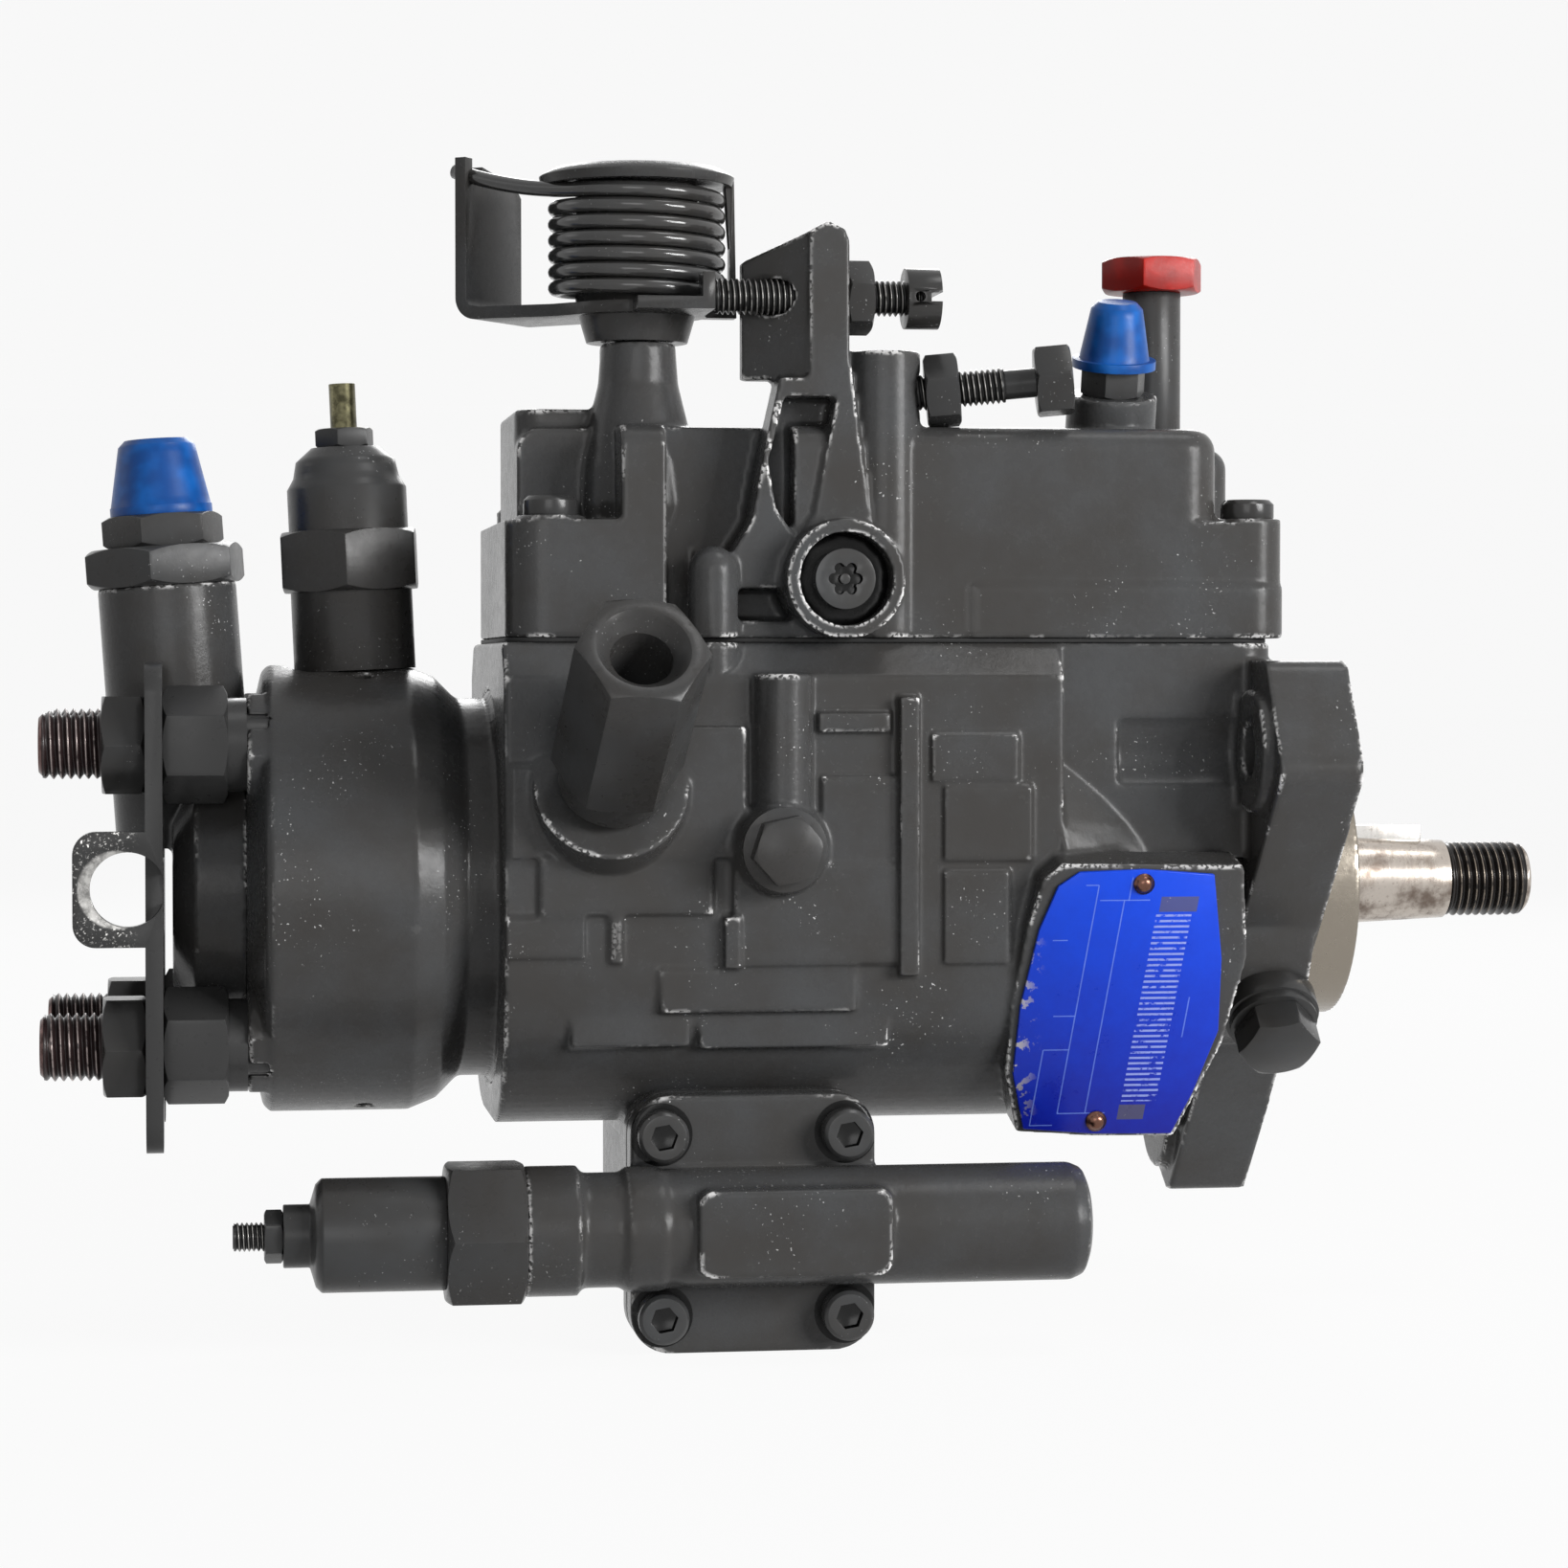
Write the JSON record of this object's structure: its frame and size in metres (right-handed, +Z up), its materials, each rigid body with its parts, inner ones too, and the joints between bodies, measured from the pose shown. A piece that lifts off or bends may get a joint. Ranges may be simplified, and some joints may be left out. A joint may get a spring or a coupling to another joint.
{
  "type": "diesel injection pump",
  "caption": "Rotary distributor diesel injection pump with a flange, tapered drive shaft, governor cover, throttle lever and axial outlets.",
  "frame": {"origin": "centre of the drive shaft's axis on the front face of the mounting flange", "axes": "+X out of the drive end along the shaft, +Z up towards the governor cover, the pictured side faces -Y"},
  "size_m": [0.277, 0.1401, 0.2138],
  "materials": {
    "grey_paint": "satin dark grey enamel over castings",
    "bright_steel": "ground and polished",
    "dull_steel": "oiled machined steel",
    "blue_plastic": "moulded dust cap",
    "red_plastic": "moulded hexagon cap",
    "blue_plate": "printed blue plate",
    "brass": "dull",
    "spring_steel": "oiled",
    "gasket": "sealing sheet",
    "bronze": "bearing metal"
  },
  "bodies": {
    "casing": {"adjusting_screws": "grey_paint", "advance_box": "grey_paint", "advance_plug": "grey_paint", "advance_spring": "spring_steel", "backleak_cap": "blue_plastic", "backleak_union": "grey_paint", "cover_gasket": "gasket", "cover_screws": "grey_paint", "end_plate": "grey_paint", "governor_bracket": "dull_steel", "governor_cover": "grey_paint", "governor_spring": "spring_steel", "hydraulic_head": "grey_paint", "hydraulic_sleeve": "dull_steel", "inlet_cap": "blue_plastic", "inlet_connector": "grey_paint", "keeper_plate": "grey_paint", "lock_nuts": "grey_paint", "lock_screw": "grey_paint", "name_plate": "blue_plate", "outlet_nuts": "grey_paint", "outlet_unions": "dull_steel", "pump_housing": "grey_paint", "red_cap": "red_plastic", "return_connector": "grey_paint", "return_spring": "grey_paint", "shaft_bush": "bronze", "shaft_seal": "gasket", "side_adaptor": "grey_paint", "side_bolt": "grey_paint", "solenoid_body": "grey_paint", "solenoid_terminal": "brass", "torx_screw": "grey_paint", "transfer_liner": "dull_steel", "valve_body": "grey_paint", "valve_cap": "grey_paint", "valve_cap_screws": "grey_paint", "valve_hex_plug": "grey_paint", "valve_spring": "spring_steel"},
    "rotor": {"drive_shaft": "bright_steel", "drive_key": "bright_steel", "weight_cage": "dull_steel", "distributor_rotor": "bright_steel", "transfer_rotor": "dull_steel"},
    "plunger_a": {"plunger_set_a": "bright_steel"},
    "plunger_b": {"plunger_set_b": "bright_steel"},
    "sleeve": {"thrust_sleeve": "bright_steel"},
    "arm": {"governor_arm": "dull_steel"},
    "link": {"governor_link": "dull_steel"},
    "metering": {"metering_valve": "bright_steel"},
    "throttle": {"throttle_shaft": "grey_paint", "throttle_lever": "grey_paint"},
    "cam": {"cam_ring": "bright_steel"},
    "piston": {"advance_piston": "bright_steel"},
    "spool": {"valve_spool": "bright_steel"},
    "solenoid_core": {"solenoid_plunger": "bright_steel"},
    "weight_1": {"governor_weight_1": "dull_steel"},
    "weight_2": {"governor_weight_2": "dull_steel"},
    "weight_3": {"governor_weight_3": "dull_steel"},
    "weight_4": {"governor_weight_4": "dull_steel"}
  },
  "joints": [
    {"name": "shaft_spin", "type": "hinge", "parent": "casing", "child": "rotor", "pos_m": [0, 0, 0], "axis": [1, 0, 0], "continuous": true},
    {"name": "plunger_a_stroke", "type": "slide", "parent": "rotor", "child": "plunger_a", "axis": [0, 0, 1], "range_m": [0, 0.0022]},
    {"name": "plunger_b_stroke", "type": "slide", "parent": "rotor", "child": "plunger_b", "axis": [0, 0, -1], "range_m": [0, 0.0022]},
    {"name": "sleeve_thrust", "type": "slide", "parent": "casing", "child": "sleeve", "axis": [-1, 0, 0], "range_m": [0, 0.0022], "stiffness_N_per_m": 400, "springref_m": -0.001},
    {"name": "arm_swing", "type": "hinge", "parent": "casing", "child": "arm", "pos_m": [-0.0792, 0, 0.036], "axis": [0, 1, 0], "range_deg": [0, 4], "deforming": ["governor_spring"]},
    {"name": "link_pull", "type": "slide", "parent": "casing", "child": "link", "axis": [1, 0, 0], "range_m": [0, 0.0016]},
    {"name": "metering_turn", "type": "hinge", "parent": "casing", "child": "metering", "pos_m": [-0.134, 0.0172, 0.03], "axis": [0, 0, 1], "range_deg": [0, 9]},
    {"name": "throttle_turn", "type": "hinge", "parent": "casing", "child": "throttle", "pos_m": [-0.123, -0.015, 0.1], "axis": [0, 0, 1], "range_deg": [-35, 0], "stiffness_Nm_per_rad": 0.3, "springref_deg": 28.65, "deforming": ["return_spring"]},
    {"name": "cam_advance", "type": "hinge", "parent": "casing", "child": "cam", "pos_m": [-0.106, 0, 0], "axis": [1, 0, 0], "range_deg": [0, 6], "stiffness_Nm_per_rad": 5, "springref_deg": -5.73, "deforming": ["advance_spring"]},
    {"name": "piston_slide", "type": "slide", "parent": "casing", "child": "piston", "axis": [0, 1, 0], "range_m": [0, 0.0055]},
    {"name": "spool_slide", "type": "slide", "parent": "casing", "child": "spool", "axis": [-1, 0, 0], "range_m": [0, 0.003], "stiffness_N_per_m": 1500, "springref_m": -0.002, "deforming": ["valve_spring"]},
    {"name": "solenoid_lift", "type": "slide", "parent": "casing", "child": "solenoid_core", "axis": [-0.0436, 0, 0.999], "range_m": [0, 0.002], "stiffness_N_per_m": 1500, "springref_m": -0.002},
    {"name": "weight_1_swing", "type": "hinge", "parent": "rotor", "child": "weight_1", "pos_m": [-0.0455, 0, 0.022], "axis": [0, 1, 0], "range_deg": [0, 13]},
    {"name": "weight_2_swing", "type": "hinge", "parent": "rotor", "child": "weight_2", "pos_m": [-0.0455, -0.022, 0], "axis": [0, 0, 1], "range_deg": [0, 13]},
    {"name": "weight_3_swing", "type": "hinge", "parent": "rotor", "child": "weight_3", "pos_m": [-0.0455, 0, -0.022], "axis": [0, -1, 0], "range_deg": [0, 13]},
    {"name": "weight_4_swing", "type": "hinge", "parent": "rotor", "child": "weight_4", "pos_m": [-0.0455, 0.022, 0], "axis": [0, 0, -1], "range_deg": [0, 13]}
  ],
  "couplings": [
    {"joint": "plunger_b_stroke", "follows": "plunger_a_stroke", "ratio": 1},
    {"joint": "arm_swing", "follows": "sleeve_thrust", "rad_per_m": 27.778},
    {"joint": "link_pull", "follows": "sleeve_thrust", "ratio": 0.6944},
    {"joint": "metering_turn", "follows": "sleeve_thrust", "rad_per_m": 68.083},
    {"joint": "piston_slide", "follows": "cam_advance", "m_per_rad": 0.052},
    {"joint": "weight_1_swing", "follows": "sleeve_thrust", "rad_per_m": 100},
    {"joint": "weight_2_swing", "follows": "sleeve_thrust", "rad_per_m": 100},
    {"joint": "weight_3_swing", "follows": "sleeve_thrust", "rad_per_m": 100},
    {"joint": "weight_4_swing", "follows": "sleeve_thrust", "rad_per_m": 100}
  ]
}
